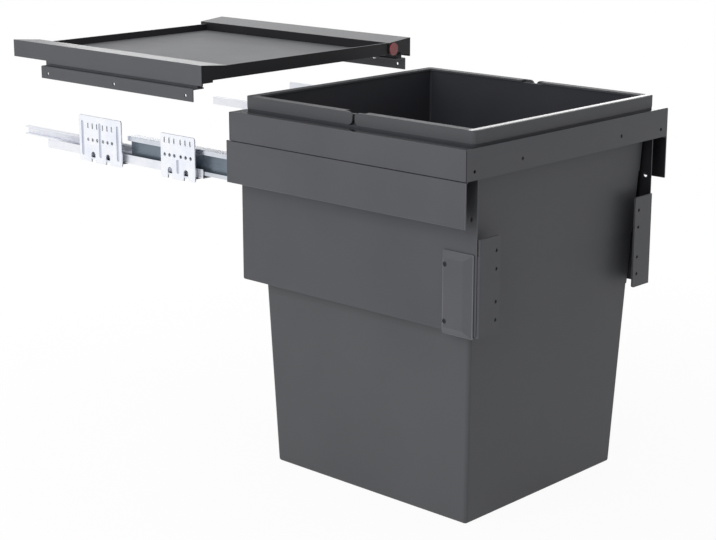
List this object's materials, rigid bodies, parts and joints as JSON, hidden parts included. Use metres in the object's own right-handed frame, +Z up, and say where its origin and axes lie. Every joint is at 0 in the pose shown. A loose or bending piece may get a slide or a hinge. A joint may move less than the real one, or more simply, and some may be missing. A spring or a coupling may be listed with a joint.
{
  "type": "pull-out bin frame",
  "caption": "Pull-out waste bin frame for a kitchen base cabinet: sheet steel frame on full-extension ball runners, hanging tapered bin with folding rim handles, and a fixed cover lid.",
  "frame": {"origin": "midway between the outer door holes, on the front face of the front band", "axes": "+Y from the door into the cabinet, +Z up, +X to the right seen from the front"},
  "size_m": [0.418, 0.852, 0.535],
  "materials": {
    "painted_steel": "satin anthracite powder coat",
    "anthracite_plastic": "fine-grained anthracite moulding",
    "bin_plastic": "satin anthracite moulding",
    "black_plastic": "plain black moulding",
    "zinc": "bright zinc plate",
    "ball_steel": "polished",
    "red_badge": "plain red"
  },
  "bodies": {
    "cabinet_side": {"lid_tray": "painted_steel", "lid_left_rail": "anthracite_plastic", "lid_right_rail": "anthracite_plastic", "lid_left_wall_angle": "painted_steel", "lid_right_wall_angle": "painted_steel", "lid_screws": "zinc", "lid_badge": "red_badge", "left_front_wall_bracket": "zinc", "right_front_wall_bracket": "zinc", "left_rear_wall_bracket": "zinc", "right_rear_wall_bracket": "zinc", "left_support_angle": "zinc", "right_support_angle": "zinc", "left_cabinet_rail": "zinc", "right_cabinet_rail": "zinc", "bracket_rivets": "zinc", "rail_rivets": "zinc"},
    "frame": {"left_drawer_rail": "zinc", "right_drawer_rail": "zinc", "front_band": "painted_steel", "rear_band": "painted_steel", "left_upper_band": "painted_steel", "right_upper_band": "painted_steel", "left_slide_cover": "painted_steel", "right_slide_cover": "painted_steel", "left_side_panel": "painted_steel", "right_side_panel": "painted_steel", "left_door_bracket": "painted_steel", "right_door_bracket": "painted_steel", "left_bracket_cover": "anthracite_plastic", "right_bracket_cover": "anthracite_plastic", "adjuster_screws": "zinc", "bucket": "bin_plastic", "front_handle": "bin_plastic", "rear_handle": "bin_plastic", "handle_pins": "black_plastic"},
    "left_intermediate": {"left_intermediate_rail": "zinc"},
    "left_outer_ball_cage": {"left_outer_cage": "black_plastic", "left_outer_balls": "ball_steel"},
    "left_inner_ball_cage": {"left_inner_cage": "black_plastic", "left_inner_balls": "ball_steel"},
    "right_intermediate": {"right_intermediate_rail": "zinc"},
    "right_outer_ball_cage": {"right_outer_cage": "black_plastic", "right_outer_balls": "ball_steel"},
    "right_inner_ball_cage": {"right_inner_cage": "black_plastic", "right_inner_balls": "ball_steel"}
  },
  "joints": [
    {"name": "pull_out", "type": "slide", "parent": "cabinet_side", "child": "frame", "axis": [0, -1, 0], "range_m": [-0.448, 0]},
    {"name": "left_intermediate_slide", "type": "slide", "parent": "cabinet_side", "child": "left_intermediate", "axis": [0, -1, 0], "range_m": [-0.224, 0]},
    {"name": "left_outer_ball_cage_slide", "type": "slide", "parent": "cabinet_side", "child": "left_outer_ball_cage", "axis": [0, -1, 0], "range_m": [-0.336, 0]},
    {"name": "left_inner_ball_cage_slide", "type": "slide", "parent": "cabinet_side", "child": "left_inner_ball_cage", "axis": [0, -1, 0], "range_m": [-0.112, 0]},
    {"name": "right_intermediate_slide", "type": "slide", "parent": "cabinet_side", "child": "right_intermediate", "axis": [0, -1, 0], "range_m": [-0.224, 0]},
    {"name": "right_outer_ball_cage_slide", "type": "slide", "parent": "cabinet_side", "child": "right_outer_ball_cage", "axis": [0, -1, 0], "range_m": [-0.336, 0]},
    {"name": "right_inner_ball_cage_slide", "type": "slide", "parent": "cabinet_side", "child": "right_inner_ball_cage", "axis": [0, -1, 0], "range_m": [-0.112, 0]}
  ],
  "couplings": [
    {"joint": "left_intermediate_slide", "follows": "pull_out", "ratio": 0.5},
    {"joint": "left_outer_ball_cage_slide", "follows": "pull_out", "ratio": 0.75},
    {"joint": "left_inner_ball_cage_slide", "follows": "pull_out", "ratio": 0.25},
    {"joint": "right_intermediate_slide", "follows": "pull_out", "ratio": 0.5},
    {"joint": "right_outer_ball_cage_slide", "follows": "pull_out", "ratio": 0.75},
    {"joint": "right_inner_ball_cage_slide", "follows": "pull_out", "ratio": 0.25}
  ]
}
